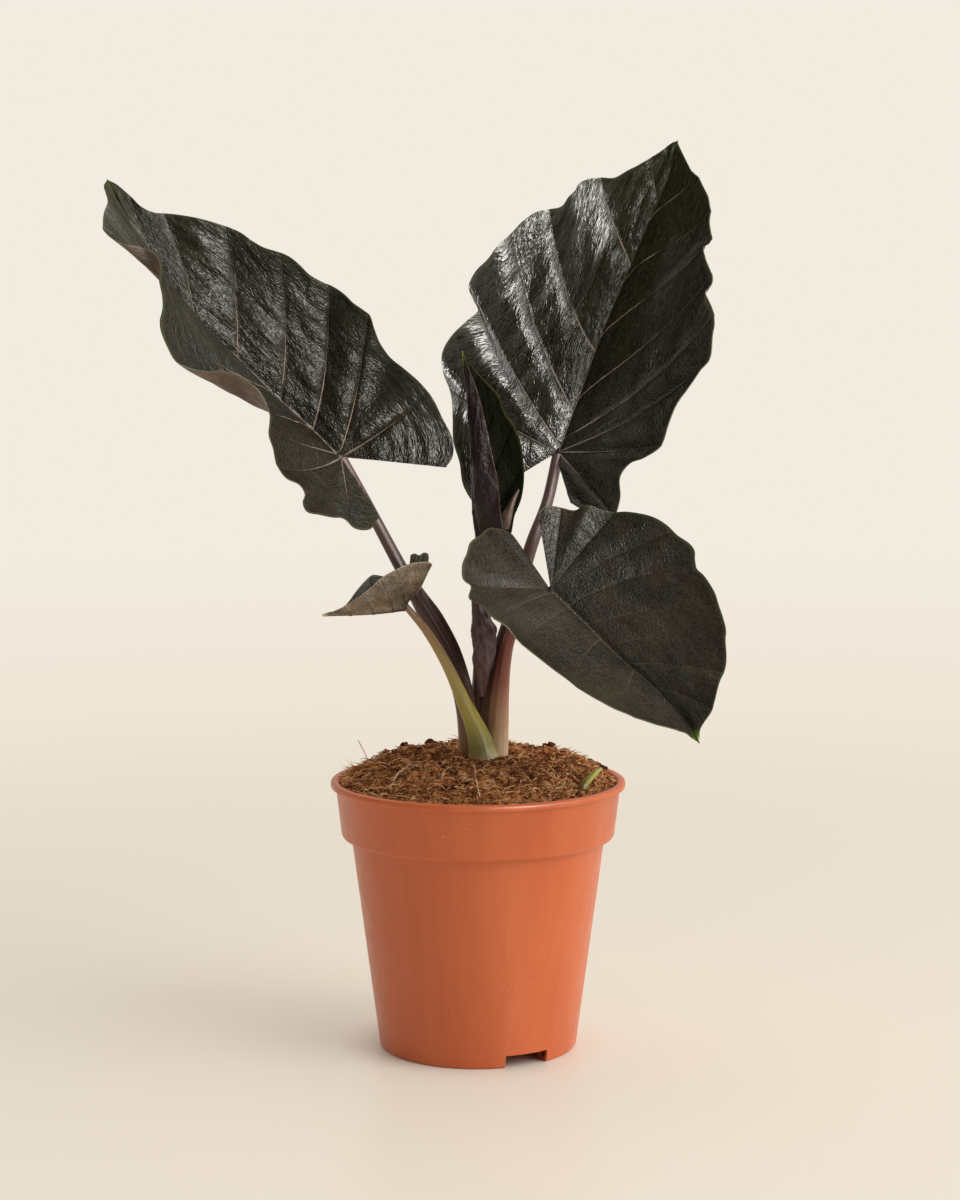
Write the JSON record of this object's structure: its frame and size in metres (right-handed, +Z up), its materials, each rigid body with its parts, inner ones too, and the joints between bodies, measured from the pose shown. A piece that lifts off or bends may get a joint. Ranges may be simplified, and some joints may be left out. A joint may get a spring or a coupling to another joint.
{
  "type": "potted alocasia",
  "caption": "Potted alocasia with dark waved arrow-shaped leaves on slender stalks, in a tapered plastic nursery pot filled with potting mix.",
  "frame": {"origin": "middle of the flat pad on the pot's underside, at the level of the surface that the pot stands on", "axes": "+Z up along the pot's axis, -Y towards the front of the plant, +X to the right as seen from the front"},
  "size_m": [0.2442, 0.1297, 0.3695],
  "materials": {
    "pot_plastic": "terracotta-coloured moulded plastic, satin, with fine moulding streaks",
    "potting_mix": "loose brown coir and peat, crumbly, with pale fibres",
    "corm": "rough brown skin",
    "glossy_black_leaf": "near-black green, glossy, puckered by a fine net of veins; mauve-brown underneath",
    "matte_grey_leaf": "dark grey-green, half matte, fine net of veins, bright green tip",
    "rolled_leaf": "glossy dark purple outside, dark green inside the roll",
    "old_leaf": "dull grey-brown underside, dark upper side, dried cream tip",
    "purple_stalk": "smooth, half glossy purple-brown",
    "mauve_stalk": "smooth, half glossy mauve",
    "red_stalk": "smooth, half glossy red-brown, cream at the base",
    "green_stalk": "smooth, yellow-green, pinkish at the top",
    "dry_sheath": "thin, wrinkled, drying purple",
    "young_shoot": "smooth yellow-green"
  },
  "bodies": {
    "root": {"pot": "pot_plastic", "potting_mix": "potting_mix", "corm": "corm", "left_leaf_blade": "glossy_black_leaf", "left_leaf_stalk": "purple_stalk", "back_leaf_blade": "glossy_black_leaf", "back_leaf_stalk": "mauve_stalk", "front_leaf_blade": "matte_grey_leaf", "front_leaf_stalk": "red_stalk", "new_leaf_blade": "rolled_leaf", "new_leaf_stalk": "purple_stalk", "dry_sheath": "dry_sheath", "small_leaf_blade": "old_leaf", "small_leaf_stalk": "green_stalk", "young_shoot": "young_shoot"}
  },
  "joints": []
}
